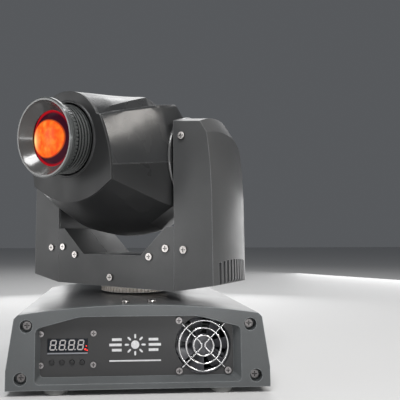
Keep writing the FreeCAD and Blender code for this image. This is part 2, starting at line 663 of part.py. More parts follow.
def left_arm_cover():
    return mirrored(right_arm_cover(), X)


def yoke_frame():
    """Folded steel U: a floor plate in the bridge and one upright plate inside each arm."""
    floor_z = BRIDGE_BOTTOM + COVER_WALL + 2.9
    half = YOKE_HALF_DEPTH - COVER_WALL - 0.3
    floor = block(-ARM_INNER - PLATE, ARM_INNER + PLATE, -32, 32, floor_z, floor_z + PLATE)
    pieces = [floor]
    for side in (-1, 1):
        x0 = side * ARM_INNER if side > 0 else -ARM_INNER - PLATE
        shoulder = [(-half, 165.0), (-half, 275.0), (-half + 7, 282.0), (half - 16, 282.0),
                    (half, 262.0), (half, 165.0), (32, 150.0), (32, floor_z), (-32, floor_z), (-32, 150.0)]
        pieces.append(along_x(shoulder, x0, x0 + PLATE))
    frame = fuse_all(pieces)
    frame = frame.cut(rod(11.2, (0, 0, 90), Z, 30))
    frame = frame.cut(rod(TILT_SHAFT_RADIUS + 0.6, (-150, 0, TILT_HEIGHT), X, 300))
    frame = frame.cut(rod(11.2, (80, 0, TILT_MOTOR_Z), X, 30))
    return frame


def tilt_bearings():
    bearings = []
    for side in (-1, 1):
        x0 = ARM_INNER + PLATE if side > 0 else -ARM_INNER - PLATE - 12
        ring = rod(19, (x0, 0, TILT_HEIGHT), X, 12)
        flange = rod(25, (x0 if side > 0 else x0 + 9, 0, TILT_HEIGHT), X, 3)
        bore = rod(TILT_SHAFT_RADIUS + RUNNING_FIT, (-150, 0, TILT_HEIGHT), X, 300)
        bearings.append(ring.fuse(flange).cut(bore))
    return group(bearings)


def lay_along_x(shape, x, z):
    """Turn a piece drawn along +Z to lie along +X, on the arm's centre plane at height z."""
    shape.rotate(Vector(0, 0, 0), Y, 90)
    shape.translate(Vector(x, 0, z))
    return shape


def tilt_motor():
    face_x = ARM_INNER + PLATE + TILT_MOTOR_LENGTH
    return lay_along_x(motor(TILT_MOTOR_LENGTH, 11.1), face_x, TILT_MOTOR_Z)


def tilt_motor_pulley():
    pulley = toothed_pulley(TILT_MOTOR_PULLEY_RADIUS, 2.5 + RUNNING_FIT, BELT_WIDTH - 0.4, 14)
    return lay_along_x(pulley, TILT_BELT_X - 0.3, TILT_MOTOR_Z)


def tilt_belt():
    span = TILT_HEIGHT - TILT_MOTOR_Z
    belt = belt_loop(TILT_PULLEY_RADIUS, (0, 0), TILT_MOTOR_PULLEY_RADIUS, (span, 0), BELT_WIDTH - 1)
    return lay_along_x(belt, TILT_BELT_X, TILT_HEIGHT)


def yoke_screws():
    screws = []
    lower_x, lower_z = ARM_SCREWS[0]
    for side in (-1, 1):
        places = [(x, side, z) for x, z in BRIDGE_SCREWS]
        places += [(side * x, -1, z) for x, z in ARM_SCREWS] + [(side * lower_x, 1, lower_z)]
        for x, way, z in places:
            seat = (x, way * YOKE_HALF_DEPTH, z)
            screws.append(pan_head_screw(YOKE_SCREW_HEAD, 1.95, 9.0, seat, Vector(0, way, 0)))
    return group(screws)


# ---- head -----------------------------------------------------------------------------------------
# One row per cross-section, front to back:
# y, crown z, ridge corner (x, z), ridge foot (x, z), ledge edge (x, z), cheek corner (x, z),
# cheek x at the seam, cheek foot (x, z), keel corner (x, z), keel z
HEAD_SECTIONS = (
    (BODY_Y, 85.0, (46.0, 54.4), (46.6, 53.4), (49.4, 52.8), (50.6, 51.0),
     60.0, (58.8, -15.6), (48.4, -21.5), -36.3),
    (-92.0, 86.2, (45.5, 65.5), (46.8, 59.2), (60.0, 58.1), (61.6, 56.0),
     69.9, (68.6, -28.4), (53.5, -40.5), -53.5),
    (-64.0, 87.6, (43.2, 73.0), (46.0, 64.0), (73.0, 62.9), (75.2, 60.0),
     80.8, (79.6, -43.0), (55.0, -58.2), -70.5),
    (-49.0, 88.3, (42.4, 77.0), (45.6, 66.2), (78.6, 64.6), (79.6, 60.6),
     CHEEK, (85.4, -49.5), (54.5, -67.5), -78.5),
    (-20.0, 89.6, (40.4, 84.2), (44.6, 69.4), (80.8, 67.9), (83.6, 64.8),
     CHEEK, (85.4, -51.0), (49.0, -78.6), -86.0),
    (-2.0, 87.4, (38.4, 81.2), (43.4, 60.0), (78.6, 53.4), (83.0, 50.0),
     CHEEK, (85.4, -50.5), (47.0, -79.0), -86.0),
    (40.0, 73.0, (33.0, 68.0), (38.0, 54.0), (71.0, 48.0), (78.0, 43.0),
     82.0, (80.6, -44.0), (43.0, -69.0), -75.0),
    (REAR_Y, 58.0, (29.0, 53.5), (33.0, 44.0), (60.0, 38.0), (65.0, 33.0),
     68.0, (66.4, -36.0), (38.0, -51.0), -55.0),
)


def head_wire(section, inset, y=None):
    at_y, crown, ridge, foot, ledge, cheek, seam_x, cheek_foot, keel_corner, keel = section
    at_y = at_y if y is None else y

    def moved(point, dz):
        return (point[0] - inset, point[1] + dz)

    ridge, foot, ledge, cheek = (moved(p, -inset) for p in (ridge, foot, ledge, cheek))
    cheek_foot, keel_corner = (moved(p, inset) for p in (cheek_foot, keel_corner))
    seam = (seam_x - inset, 0.0)
    bow = (seam[0] - 0.28 * (seam[0] - cheek[0]), 0.52 * cheek[1])

    def left(point):
        return (-point[0], point[1])

    path = [left(ridge), ((0, crown - inset), ridge), foot, ledge, cheek, (bow, seam), cheek_foot,
            keel_corner, ((0, keel + inset), left(keel_corner)), left(cheek_foot), left(seam),
            (left(bow), left(cheek)), left(ledge), left(foot)]
    return path_wire(path, lambda x, z: Vector(x, at_y, z))


def head_solid(inset):
    solids = []
    for front, back in zip(HEAD_SECTIONS, HEAD_SECTIONS[1:]):
        solids.append(Part.makeLoft([head_wire(front, inset), head_wire(back, inset)], True, True))
    if inset:
        first, last = HEAD_SECTIONS[0], HEAD_SECTIONS[-1]
        for section, y0, step in ((first, BODY_Y, -3), (last, REAR_Y, 3)):
            solids.append(Part.Face(head_wire(section, inset, y0)).extrude(Vector(0, step, 0)))
    return fuse_all(solids)


def cheek_hubs():
    start = 60.0
    hubs = [rod(HUB_RADIUS, (x0, 0, 0), X, HUB_FACE - start) for x0 in (-HUB_FACE, start)]
    return fuse_all(hubs).common(block(-120, 120, -60, 60, HUB_FOOT, 60))


def head_shell():
    shell = head_solid(0).fuse(cheek_hubs()).cut(head_solid(SHELL_WALL))
    return shell.cut(rod(TILT_SHAFT_RADIUS + 2.5, (-120, 0, 0), X, 240))


def head_upper_shell():
    return head_shell().common(block(-120, 120, -130, 90, 0.15, 120))


def head_lower_shell():
    shell = head_shell().common(block(-120, 120, -130, 90, -120, -0.15))
    slots = [block(-26, 26, y, y + 3, -100, -60) for y in (-10, -2, 6)]
    return cut_all(shell, slots)


def head_front_plate():
    plate = Part.Face(head_wire(HEAD_SECTIONS[0], 0, FACE_Y)).extrude(Vector(0, BODY_Y - FACE_Y, 0))
    collar = tube(FACE_HOLE_RADIUS + 2.2, FACE_HOLE_RADIUS, (0, FACE_Y - 1.2, OPTIC_Z), Y, 10)
    plate = plate.cut(rod(FACE_HOLE_RADIUS, (0, FACE_Y - 5, OPTIC_Z), Y, 20))
    return plate.fuse(collar)


def head_rear_grille():
    last = HEAD_SECTIONS[-1]
    plate = Part.Face(head_wire(last, 0, REAR_Y)).extrude(Vector(0, 2.5, 0))
    slots = []
    for i in range(9):
        z = -30.0 + 8.5 * i
        reach = 44.0 if z < 35 else 24.0
        slots.append(block(-reach, -1.5, REAR_Y - 1, REAR_Y + 4, z - 2.2, z + 2.2))
        slots.append(block(1.5, reach, REAR_Y - 1, REAR_Y + 4, z - 2.2, z + 2.2))
    slots += [rod(2.05, (a * HEAD_SCREW_X, REAR_Y - 1, z), Y, 5) for a in (-1, 1) for z in HEAD_SCREW_Z]
    return cut_all(plate, slots)


def head_chassis():
    floor = block(-60, 60, -84, 60, -24.5, -22.5).cut(block(-30, 30, -27, -6, -30, -20))
    pieces = [floor, block(-42, 42, -104, -84, -24.5, -22.5)]
    for side in (-1, 1):
        x0 = 76.0 if side > 0 else -78.0
        plate = block(x0, x0 + 2, -30, 34, -24.5, 34)
        rung = block(min(side * 58, side * 78), max(side * 58, side * 78), -30, 34, -24.5, -22.5)
        pieces += [plate, rung]
    for y, hole_radius, top in ((-104.0, BARREL_RADIUS - 0.9, 56), (-36.0, 16.0, 56), (14.0, 16.0, 53)):
        upright = block(-42, 42, y, y + 2, -24.5, top)
        hole = rod(hole_radius, (0, y - 1, OPTIC_Z), Y, 4)
        pieces.append(upright.cut(hole).cut(rod(9, (0, y - 1, WHEEL_AXIS_Z), Y, 4)))
    return fuse_all(pieces)


def tilt_shafts():
    shafts = []
    for side in (-1, 1):
        reach = TILT_BELT_X + BELT_WIDTH - 1 if side > 0 else ARM_INNER + PLATE + 16
        x0 = 78.0 if side > 0 else -reach
        shaft = rod(TILT_SHAFT_RADIUS, (x0, 0, 0), X, reach - 78.0)
        flange = rod(18, (78.0 if side > 0 else -80.5, 0, 0), X, 2.5)
        shafts.append(shaft.fuse(flange).cut(rod(8, (x0 - 5, 0, 0), X, reach)))
    return group(shafts)


def tilt_pulley():
    pulley = toothed_pulley(TILT_PULLEY_RADIUS, TILT_SHAFT_RADIUS, BELT_WIDTH - 0.4, 48)
    pulley.rotate(Vector(0, 0, 0), Y, 90)
    pulley.translate(Vector(TILT_BELT_X - 0.3, 0, 0))
    return pulley


def lens_barrel():
    """Focus ring: flared front flange, knurled band, ribbed sleeve, and a cone down to the lens."""
    y0 = LENS_FLANGE_Y
    band, groove = BARREL_RADIUS + 0.8, BARREL_RADIUS - 1.4
    outer = [(0, y0), (LENS_FLANGE_RADIUS - 1.5, y0), (LENS_FLANGE_RADIUS, y0 + 1.2),
             (LENS_FLANGE_RADIUS, y0 + 4.0), (LENS_FLANGE_RADIUS - 3.0, y0 + 8.0),
             (band, y0 + 8.5), (band, y0 + 13.0), (groove, y0 + 13.4)]
    for i in range(BARREL_RIBS):
        y = y0 + 15.0 + 4.4 * i
        outer += [(groove, y), (BARREL_RADIUS, y + 0.6), (BARREL_RADIUS, y + 2.2), (groove, y + 2.8)]
    outer += [(groove, y0 + BARREL_LENGTH), (0, y0 + BARREL_LENGTH)]
    inner = [(0, y0 - 1), (39.0, y0 - 1), (38.4, y0 + 0.8), (LENS_THROAT, y0 + 12.0),
             (LENS_THROAT, LENS_SEAT), (LENS_BORE, LENS_SEAT), (LENS_BORE, y0 + 60), (0, y0 + 60)]
    body = turned(outer).cut(turned(inner))
    for i in range(60):
        angle = 2 * math.pi * i / 60
        x = (band + 0.3) * math.cos(angle)
        z = OPTIC_Z + (band + 0.3) * math.sin(angle)
        body = body.cut(rod(0.9, (x, y0 + 9.0, z), Y, 4.0))
    return body


def turned(profile):
    """Solid of revolution about the optical axis from (radius, y) points."""
    points = [Vector(r, y, OPTIC_Z) for r, y in profile]
    wire = Part.makePolygon(points + [points[0]])
    return Part.Face(wire).revolve(Vector(0, 0, OPTIC_Z), Y, 360)


def dome_drop(radius):
    return LENS_DOME - math.sqrt(LENS_DOME ** 2 - radius ** 2)


def lens_edge_y():
    """Where the dome meets the lens's rim, so that it clears the throat by LENS_GAP."""
    return LENS_SEAT + LENS_GAP + dome_drop(LENS_RADIUS) - dome_drop(LENS_THROAT)


def front_lens():
    """Plano-convex lens whose dome stands in the throat of the focus ring."""
    edge, rise = lens_edge_y(), dome_drop(LENS_RADIUS)
    plano = rod(LENS_RADIUS, (0, edge, OPTIC_Z), Y, LENS_EDGE)
    ball = Part.makeSphere(LENS_DOME, Vector(0, edge - rise + LENS_DOME, OPTIC_Z))
    cap = ball.common(rod(LENS_RADIUS, (0, edge - rise - 1, OPTIC_Z), Y, rise + 1))
    return plano.fuse(cap).removeSplitter()


def lens_cell():
    """Sliding sleeve that carries the lens inside the focus ring."""
    y0 = lens_edge_y() + LENS_EDGE + 0.2
    return tube(LENS_RADIUS, 28.0, (0, y0, OPTIC_Z), Y, LENS_FLANGE_Y + BARREL_LENGTH + 2 - y0)


def wheel_place(i, places):
    """Centre of hole i on an effect wheel; hole 0 stands in the beam."""
    angle = math.radians(90 + 360.0 * i / places)
    return WHEEL_HOLE_CIRCLE * math.cos(angle), WHEEL_AXIS_Z + WHEEL_HOLE_CIRCLE * math.sin(angle)


def effect_wheel(y, places, hole_radius, plate):
    wheel = rod(WHEEL_RADIUS, (0, y, WHEEL_AXIS_Z), Y, plate).cut(rod(2.55, (0, y - 1, WHEEL_AXIS_Z), Y, 6))
    for i in range(places):
        x, z = wheel_place(i, places)
        wheel = wheel.cut(rod(hole_radius, (x, y - 1, z), Y, plate + 2))
    return wheel


def gobo_wheel():
    wheel = effect_wheel(-20.0, 8, 6.0, 1.2)
    for i in range(8):
        cx, cz = wheel_place(i, 8)
        for k in range(i % 4):
            bar = block(-6.5, 6.5, -20.0, -18.8, -0.6, 0.6)
            bar.rotate(Vector(0, 0, 0), Y, 180.0 * k / 3)
            bar.translate(Vector(cx, 0, cz))
            wheel = wheel.fuse(bar)
    return wheel.fuse(tube(6, 2.55, (0, -24, WHEEL_AXIS_Z), Y, 4.5))


def colour_wheel():
    wheel = effect_wheel(-10.0, 9, 7.5, 1.2)
    for i in range(1, 9):
        x, z = wheel_place(i, 9)
        wheel = wheel.fuse(rod(7.6, (x, -9.9, z), Y, 1.0))
    return wheel.fuse(tube(6, 2.55, (0, -9.5, WHEEL_AXIS_Z), Y, 5))


def wheel_motors():
    gobo = fuse_all([rod(17.5, (0, -56, WHEEL_AXIS_Z), Y, 20), rod(2.5, (0, -36, WHEEL_AXIS_Z), Y, 18)])
    colour = fuse_all([rod(17.5, (0, 16, WHEEL_AXIS_Z), Y, 12), rod(2.5, (0, -12, WHEEL_AXIS_Z), Y, 28)])
    return group([gobo, colour])


def led_engine():
    board = block(-20, 20, 34, 36, OPTIC_Z - 20, OPTIC_Z + 20)
    reflector = Part.makeCone(12, 8, 14, Vector(0, 18, OPTIC_Z), Y).cut(
        Part.makeCone(10.6, 5, 15, Vector(0, 17.5, OPTIC_Z), Y))
    chip = rod(6, (0, 32, OPTIC_Z), Y, 2)
    return fuse_all([board, reflector, chip, tube(8.5, 6.5, (0, 31.5, OPTIC_Z), Y, 3)])


def heat_sink():
    plate = block(-30, 30, 36, 40, -20, 52)
    fins = [block(-30, 30, 39, 52, -20 + 5.0 * i, -18.4 + 5.0 * i) for i in range(15)]
    return fuse_all([plate] + fins)


def head_fan_frame():
    frame = fan_frame(60.0, 15.0, 28.5, 25.0, 2.05)
    frame.translate(Vector(0, 55, 14.0))
    return frame


def head_fan_rotor():
    rotor = fan_rotor(27.0, 11.0, 11.0, 7)
    rotor.translate(Vector(0, 55.8, 14.0))
    return rotor


def head_screws():
    return group([pan_head_screw(3.2, 1.95, 8.0, (a * HEAD_SCREW_X, REAR_Y + 2.5, z), Y)
                  for a in (-1, 1) for z in HEAD_SCREW_Z])


# ---- every piece, by the frame it is drawn in -------------------------------------------------------
BASE_PIECES = {
    "base_top_cover": base_top_cover, "base_bottom_plate": bottom_plate, "base_front_frame": front_frame,
    "base_rear_frame": lambda: mirrored(front_frame(), Y), "front_panel": front_panel,
    "rear_panel": rear_panel, "display_module": display_module, "display_board": display_board,
    "fan_guard": fan_guard,
    "base_fan_frame": base_fan_frame, "base_fan_rotor": base_fan_rotor, "rubber_feet": rubber_feet,
    "frame_screws": frame_screws, "panel_screws": panel_screws, "cover_screws": cover_screws,
    "power_inlet": power_inlet, "fuse_holder": fuse_holder, "power_supply": power_supply,
    "dmx_in_socket": lambda: xlr_socket(DMX_IN_CENTRE, True),
    "dmx_out_socket": lambda: xlr_socket(DMX_OUT_CENTRE, False),
    "main_board": main_board, "pan_motor": pan_motor, "pan_motor_pulley": pan_motor_pulley,
    "pan_belt": pan_belt, "pan_bearing": pan_bearing,
}
YOKE_PIECES = {
    "pan_shaft": pan_shaft, "pan_pulley": pan_pulley, "pan_collar": pan_collar, "yoke_frame": yoke_frame,
    "bridge_front_cover": bridge_front_cover, "bridge_rear_cover": bridge_rear_cover,
    "left_arm_cover": left_arm_cover, "right_arm_cover": right_arm_cover, "yoke_screws": yoke_screws,
    "tilt_bearings": tilt_bearings, "tilt_motor": tilt_motor, "tilt_motor_pulley": tilt_motor_pulley,
    "tilt_belt": tilt_belt,
}
HEAD_PIECES = {
    "head_upper_shell": head_upper_shell, "head_lower_shell": head_lower_shell,
    "head_front_plate": head_front_plate, "head_rear_grille": head_rear_grille, "head_chassis": head_chassis,
    "tilt_shafts": tilt_shafts, "tilt_pulley": tilt_pulley, "focus_ring": lens_barrel,
    "front_lens": front_lens, "lens_cell": lens_cell, "gobo_wheel": gobo_wheel, "colour_wheel": colour_wheel,
    "wheel_motors": wheel_motors, "led_engine": led_engine, "heat_sink": heat_sink,
    "head_fan_frame": head_fan_frame, "head_fan_rotor": head_fan_rotor, "head_screws": head_screws,
}


def write(node, shape):
    if not shape.isValid():
        print("not valid:", node)
    shape.exportStep("parts/" + node + ".step")


def main():
    os.makedirs("parts", exist_ok=True)
    for node, build in BASE_PIECES.items():
        write(node, build())
    for number, x in enumerate(button_places(), 1):
        write("menu_button_%d" % number, button(x))
    for node, build in YOKE_PIECES.items():
        write(node, in_yoke(build()))
    for node, build in HEAD_PIECES.items():
        write(node, in_head(build()))


main()
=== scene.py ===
"""Looks of the compact moving-head spot light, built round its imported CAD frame.

Metres, +Z up, control panel towards -Y.
"""

import math

import bpy
from mathutils import Matrix, Vector


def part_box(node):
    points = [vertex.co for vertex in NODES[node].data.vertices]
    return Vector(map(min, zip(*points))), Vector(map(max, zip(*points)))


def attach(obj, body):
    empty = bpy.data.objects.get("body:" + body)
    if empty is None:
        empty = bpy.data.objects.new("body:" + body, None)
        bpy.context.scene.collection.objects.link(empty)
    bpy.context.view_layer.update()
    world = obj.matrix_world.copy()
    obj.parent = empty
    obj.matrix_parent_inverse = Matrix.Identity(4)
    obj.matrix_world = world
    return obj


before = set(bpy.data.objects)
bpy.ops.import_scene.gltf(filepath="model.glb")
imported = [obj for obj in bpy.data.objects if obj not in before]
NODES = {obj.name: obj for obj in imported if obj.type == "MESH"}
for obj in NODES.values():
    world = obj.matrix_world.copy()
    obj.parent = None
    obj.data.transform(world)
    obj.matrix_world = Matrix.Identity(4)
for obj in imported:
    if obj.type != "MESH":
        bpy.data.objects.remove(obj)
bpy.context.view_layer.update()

# ---- the stored pose, in metres ----------------------------------------------------------------------
PAN_ANGLE, TILT_ANGLE = math.radians(-39.4), math.radians(7.3)
TILT_AXIS_Z = 0.245
YOKE = Matrix.Rotation(PAN_ANGLE, 4, "Z")
HEAD = YOKE @ Matrix.Translation((0, 0, TILT_AXIS_Z)) @ Matrix.Rotation(TILT_ANGLE, 4, "X")
OPTIC_Z = 0.0328           # height of the lens centre above the tilt axis, in the head's own coordinates

# ---- camera ------------------------------------------------------------------------------------------
CAMERA_PLACE = (-0.0247, -0.5696, 0.1552)
CAMERA_YAW, CAMERA_PITCH, CAMERA_ROLL = math.radians(-3.0), math.radians(4.9), math.radians(-0.1)
SENSOR_MM, LENS_MM, LENS_SHIFT = 36.0, 39.276, 0.155
CLIP_NEAR, CLIP_FAR = 0.01, 50.0


def make_camera():
    forward = Vector((-math.sin(CAMERA_YAW) * math.cos(CAMERA_PITCH),
                      math.cos(CAMERA_YAW) * math.cos(CAMERA_PITCH), math.sin(CAMERA_PITCH)))
    right = Vector((math.cos(CAMERA_YAW), math.sin(CAMERA_YAW), 0))
    up = right.cross(forward)
    across = right * math.cos(CAMERA_ROLL) + up * math.sin(CAMERA_ROLL)
    above = -right * math.sin(CAMERA_ROLL) + up * math.cos(CAMERA_ROLL)
    data = bpy.data.cameras.new("camera")
    data.sensor_width = SENSOR_MM
    data.lens = LENS_MM
    data.shift_x = LENS_SHIFT
    data.clip_start, data.clip_end = CLIP_NEAR, CLIP_FAR
    camera = bpy.data.objects.new("camera", data)
    turn = Matrix((across, above, -forward)).transposed().to_4x4()
    camera.matrix_world = Matrix.Translation(CAMERA_PLACE) @ turn
    bpy.context.scene.collection.objects.link(camera)
    bpy.context.scene.camera = camera


# ---- light and floor ---------------------------------------------------------------------------------
WORLD_COLOUR, WORLD_STRENGTH = (0.80, 0.84, 0.90, 1), 0.12
WHITE, WARM_WHITE = (1, 1, 1), (1.0, 0.96, 0.91)
FLOOR_REACH, FLOOR_COLOUR, FLOOR_ROUGHNESS = 6, (0.66, 0.66, 0.66, 1), 0.7
SPOT_BLEND = 0.8

# name, place, the point it faces, width and height, watts, colour
AREA_LIGHTS = [
    ("front_top", (-0.16, -0.87, 1.30), (-0.02, -0.08, 0.16), (0.62, 0.5), 15, WHITE),
    ("front_right", (0.95, -0.66, 0.98), (0, 0, 0.24), (0.5, 0.34), 6.0, WARM_WHITE),
    ("front_low", (0.25, -1.6, 0.05), (0.0, -0.1, 0.03), (1.6, 0.12), 4.5, WHITE),
    ("left", (-1.35, -0.30, 0.36), (0, 0, 0.18), (0.6, 0.6), 3.4, WHITE),
    ("rim_right", (1.15, 0.78, 0.13), (0.1, 0, 0.15), (1.3, 0.4), 3.8, WHITE),
    ("back_top", (0.12, 1.0, 1.12), (-0.02, 0, 0.26), (1.5, 0.7), 5.5, WHITE),
    ("over_right", (0.36, 0.58, 1.22), (-0.03, -0.04, 0.30), (0.7, 0.7), 2.4, WHITE),
    ("glance_left", (-0.30, 0.62, 0.19), (-0.09, 0, 0.085), (0.26, 0.2), 0.50, WHITE),
    ("glance_right", (0.30, 0.62, 0.19), (0.09, 0, 0.085), (0.26, 0.2), 0.42, WHITE),
]
# name, place, the point it faces, cone in degrees, watts, radius of the lamp
SPOT_LIGHTS = [
    ("kicker", (0.50, -1.0, 0.07), (-0.052, 0.03, 0.148), 9, 14, 0.05),
    ("hood_glint", (-0.10, -1.10, 1.24), (-0.114, -0.130, 0.244), 4.6, 48, 0.22),
]


def hang_light(name, data, place, target):
    """Put a light at a place, facing a target point."""
    light = bpy.data.objects.new(name, data)
    away = Vector(target) - Vector(place)
    light.matrix_world = Matrix.Translation(place) @ away.to_track_quat("-Z", "Y").to_matrix().to_4x4()
    bpy.context.scene.collection.objects.link(light)
    return light


def area_light(name, place, target, size, watts, colour):
    data = bpy.data.lights.new(name, "AREA")
    data.shape = "RECTANGLE"
    data.size, data.size_y = size
    data.energy = watts
    data.color = colour
    hang_light(name, data, place, target).visible_camera = False


def spot_light(name, place, target, degrees, watts, radius):
    data = bpy.data.lights.new(name, "SPOT")
    data.energy = watts
    data.spot_size = math.radians(degrees)
    data.spot_blend = SPOT_BLEND
    data.shadow_soft_size = radius
    hang_light(name, data, place, target)


def make_studio():
    world = bpy.data.worlds.new("studio")
    world.use_nodes = True
    background = world.node_tree.nodes["Background"]
    background.inputs["Color"].default_value = WORLD_COLOUR
    background.inputs["Strength"].default_value = WORLD_STRENGTH
    scene = bpy.context.scene
    scene.world = world
    scene.view_settings.view_transform = "Standard"
    for light in AREA_LIGHTS:
        area_light(*light)
    for light in SPOT_LIGHTS:
        spot_light(*light)
    corners = [(x * FLOOR_REACH, y * FLOOR_REACH, 0) for x, y in ((-1, -1), (1, -1), (1, 1), (-1, 1))]
    mesh = bpy.data.meshes.new("floor")
    mesh.from_pydata(corners, [], [(0, 1, 2, 3)])
    floor = bpy.data.objects.new("floor", mesh)
    scene.collection.objects.link(floor)
    shade = bpy.data.materials.new("floor")
    shade.use_nodes = True
    bsdf = shade.node_tree.nodes["Principled BSDF"]
    bsdf.inputs["Base Color"].default_value = FLOOR_COLOUR
    bsdf.inputs["Roughness"].default_value = FLOOR_ROUGHNESS
    mesh.materials.append(shade)


# ---- materials ---------------------------------------------------------------------------------------
COAT_ROUGHNESS = 0.12


class Finish:
    """A procedural material on the Principled shader, in the object's own coordinates."""

    def __init__(self, name, rough, metallic=0.0, coat=0.0):
        self.material = bpy.data.materials.new(name)
        self.material.use_nodes = True
        self.tree = self.material.node_tree
        self.shader = self.tree.nodes["Principled BSDF"]
        self.set("Metallic", metallic)
        self.set("Roughness", rough)
        self.set("Coat Weight", coat)
        self.set("Coat Roughness", COAT_ROUGHNESS)
        self.set("IOR", 1.5)
        self.place = self.tree.nodes.new("ShaderNodeTexCoord").outputs["Object"]
        self.bump = None

    def set(self, socket, value):
        self.shader.inputs[socket].default_value = value

    def node(self, kind, **values):
        made = self.tree.nodes.new(kind)
        for key, value in values.items():
            if hasattr(made, key):
                setattr(made, key, value)
            else:
                made.inputs[key.replace("_", " ")].default_value = value
        return made

    def link(self, source, target):
        self.tree.links.new(source, target)

    def noise(self, scale, detail=3.0, stretch=None):
        made = self.node("ShaderNodeTexNoise", Scale=scale, Detail=detail)
        start = self.place
        if stretch:
            squeeze = self.node("ShaderNodeMapping", Scale=stretch)
            self.link(start, squeeze.inputs["Vector"])
            start = squeeze.outputs["Vector"]
        self.link(start, made.inputs["Vector"])
        return made.outputs["Fac"]

    def remap(self, value, low, high, new_low, new_high):
        made = self.node("ShaderNodeMapRange", From_Min=low, From_Max=high, To_Min=new_low, To_Max=new_high)
        self.link(value, made.inputs["Value"])
        return made.outputs["Result"]

    def ramp(self, value, stops):
        made = self.node("ShaderNodeValToRGB")
        elements = made.color_ramp.elements
        while len(elements) < len(stops):
            elements.new(0.5)
        for element, (at, colour) in zip(elements, stops):
            element.position = at
            element.color = (*colour, 1)
        self.link(value, made.inputs["Fac"])
        return made.outputs["Color"]

    def math(self, operation, first, second):
        made = self.node("ShaderNodeMath", operation=operation)
        for socket, item in zip(made.inputs, (first, second)):
            if isinstance(item, bpy.types.NodeSocket):
                self.link(item, socket)
            else:
                socket.default_value = item
        return made.outputs[0]

    def mix(self, amount, first, second):
        made = self.node("ShaderNodeMix", data_type="RGBA")
        for key, item in (("Factor", amount), ("A", first), ("B", second)):
            socket = [s for s in made.inputs if s.name == key and s.enabled][0]
            if isinstance(item, bpy.types.NodeSocket):
                self.link(item, socket)
            elif isinstance(item, tuple):
                socket.default_value = (*item, 1)
            else:
                socket.default_value = item
        return [s for s in made.outputs if s.enabled][0]

    def crevice(self, reach, low, high):
        """0 deep in a groove or recess, 1 in the open; the finishes darken by it to paint shade in hollows.
        """
        made = self.node("ShaderNodeAmbientOcclusion", samples=6, Distance=reach)
        return self.remap(made.outputs["AO"], low, high, 0.0, 1.0)

    def edge(self, radius, low, high):
        """1 along a sharp outer edge, 0 on open faces; the moulded finishes lighten by it for rubbed edges
        and painted edge highlights.
        """
        soft = self.node("ShaderNodeBevel", samples=4, Radius=radius)
        plain = self.node("ShaderNodeNewGeometry")
        dot = self.node("ShaderNodeVectorMath", operation="DOT_PRODUCT")
        self.link(soft.outputs["Normal"], dot.inputs[0])
        self.link(plain.outputs["Normal"], dot.inputs[1])
        return self.remap(dot.outputs["Value"], high, low, 0.0, 1.0)

    def colour(self, socket):
        self.link(socket, self.shader.inputs["Base Color"])

    def roughness(self, scale, low, high):
        self.link(self.remap(self.noise(scale, 4), 0.3, 0.7, low, high), self.shader.inputs["Roughness"])

    def bumps(self, height, strength, distance):
        made = self.node("ShaderNodeBump", Strength=strength, Distance=distance)
        self.link(height, made.inputs["Height"])
        if self.bump:
            self.link(self.bump, made.inputs["Normal"])
        self.bump = made.outputs["Normal"]
        self.link(self.bump, self.shader.inputs["Normal"])


def scaled(colour, amount):
    return tuple(min(1.0, part * amount) for part in colour)


def moulded(name, colour, rough, grain=1500, depth=0.00003, coat=0.0, spread=0.12, wear_and_edge_highlight=1.9, hollow_shade=0.35,
            hollow=(0.15, 0.75)):
    """Injection-moulded plastic: spark-eroded grain, faint flow variation, painted shade in grooves, and
    sharp edges painted lighter as rubbed edges with painted edge highlights.
    """
    finish = Finish(name, rough, coat=coat)
    flow = finish.noise(14, 4)
    tone = finish.ramp(flow, [(0.3, scaled(colour, 1 - spread)), (0.7, scaled(colour, 1 + spread))])
    speck = finish.remap(finish.noise(grain * 0.7, 2), 0.55, 0.72, 0.0, 0.22)
    tone = finish.mix(speck, tone, scaled(colour, 1.7))
    # painted edge highlight together with rubbed edges: lighter along sharp edges
    tone = finish.mix(finish.edge(0.0012, 0.80, 0.97), tone, scaled(colour, wear_and_edge_highlight))
    # painted shade: darker in grooves and recesses, where the occlusion measure is low
    finish.colour(finish.mix(finish.crevice(0.004, *hollow), scaled(colour, hollow_shade), tone))
    finish.roughness(22, rough - 0.07, rough + 0.09)
    finish.bumps(finish.noise(grain, 2), 0.35, depth)
    return finish.material


def enamel(name, colour, rough):
    """Powder coat on sheet steel: orange peel at about 1 mm and fine sparkle."""
    finish = Finish(name, rough)
    tone = finish.ramp(finish.noise(9, 5), [(0.3, scaled(colour, 0.9)), (0.7, scaled(colour, 1.1))])
    spark = finish.remap(finish.noise(2600, 1), 0.62, 0.75, 0.0, 0.3)
    tone = finish.mix(spark, tone, scaled(colour, 2.4))
    # painted shade: darker in recesses, where the occlusion measure is low
    finish.colour(finish.mix(finish.crevice(0.006, 0.1, 0.8), scaled(colour, 0.3), tone))
    finish.roughness(30, rough - 0.015, rough + 0.025)
    finish.bumps(finish.noise(900, 3), 0.25, 0.00003)
    return finish.material


def metal(name, colour, rough, stretch=(1, 1, 1), scale=400, depth=0.00002, reach=0.0016):
    """Bare or plated metal, with painted shade where it is recessed."""
    finish = Finish(name, rough, metallic=1.0)
    tone = finish.ramp(finish.noise(40, 4), [(0.3, scaled(colour, 0.86)), (0.7, colour)])
    finish.colour(finish.mix(finish.crevice(reach, 0.45, 0.9), scaled(colour, 0.04), tone))
    finish.roughness(120, rough - 0.05, rough + 0.12)
    finish.bumps(finish.noise(scale, 3, stretch=stretch), 0.25, depth)
    return finish.material


def rubbery(name, colour):
    """Matt rubber with a fine pebbled skin."""
    finish = Finish(name, 0.82)
    finish.colour(finish.ramp(finish.noise(60, 5), [(0.3, scaled(colour, 0.8)), (0.75, scaled(colour, 1.5))]))
    finish.roughness(90, 0.72, 0.92)
    finish.bumps(finish.noise(1200, 3), 0.4, 0.00006)
    return finish.material


